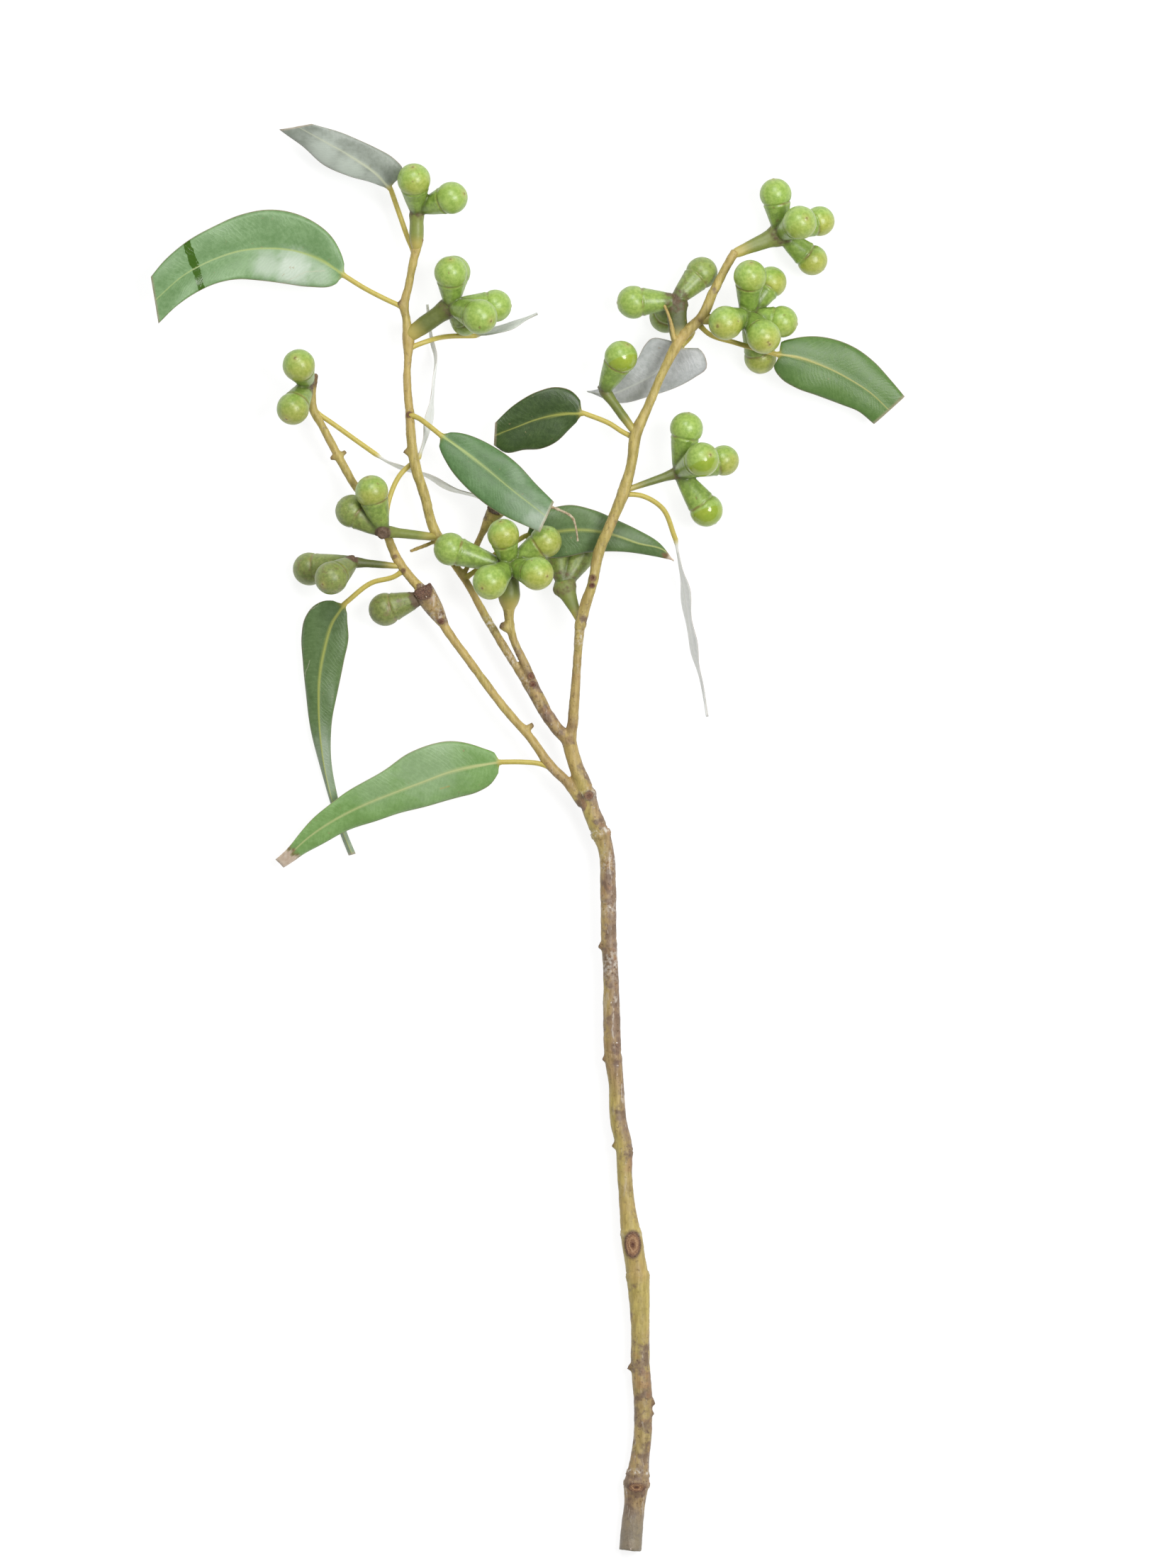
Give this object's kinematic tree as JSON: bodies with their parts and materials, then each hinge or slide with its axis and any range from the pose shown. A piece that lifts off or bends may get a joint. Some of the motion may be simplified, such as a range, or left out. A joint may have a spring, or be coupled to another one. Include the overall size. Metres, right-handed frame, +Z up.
{
  "type": "eucalyptus seed pod bunch",
  "caption": "Cut eucalyptus branch lying flat: a long forked woody stem with green globular buds in stalked clusters and lance-shaped leaves, some snipped across.",
  "frame": {"origin": "middle of the bounding box's underside, on the surface that the branch lies on", "axes": "+Y along the branch from the cut end to the tips, +Z up from the surface, +X to the right seen from above"},
  "size_m": [0.236, 0.4474, 0.033],
  "materials": {
    "bark": "matte",
    "bud_skin": "satin",
    "leaf_green": "satin",
    "leaf_silver": "matte"
  },
  "bodies": {
    "root": {"branch": "bark", "bud_cluster_01": "bud_skin", "bud_cluster_02": "bud_skin", "bud_cluster_03": "bud_skin", "bud_cluster_04": "bud_skin", "bud_cluster_05": "bud_skin", "bud_cluster_06": "bud_skin", "bud_cluster_07": "bud_skin", "bud_cluster_08": "bud_skin", "bud_cluster_09": "bud_skin", "bud_cluster_10": "bud_skin", "bud_cluster_11": "bud_skin", "bud_cluster_12": "bud_skin", "bud_cluster_13": "bud_skin", "leaf_01": "leaf_silver", "leaf_02": "leaf_green", "leaf_03": "leaf_green", "leaf_04": "leaf_green", "leaf_05": "leaf_green", "leaf_06": "leaf_silver", "leaf_07": "leaf_green", "leaf_08": "leaf_green", "leaf_09": "leaf_green", "leaf_10": "leaf_silver", "leaf_11": "leaf_silver", "leaf_12": "leaf_silver", "leaf_13": "leaf_silver"}
  },
  "joints": []
}
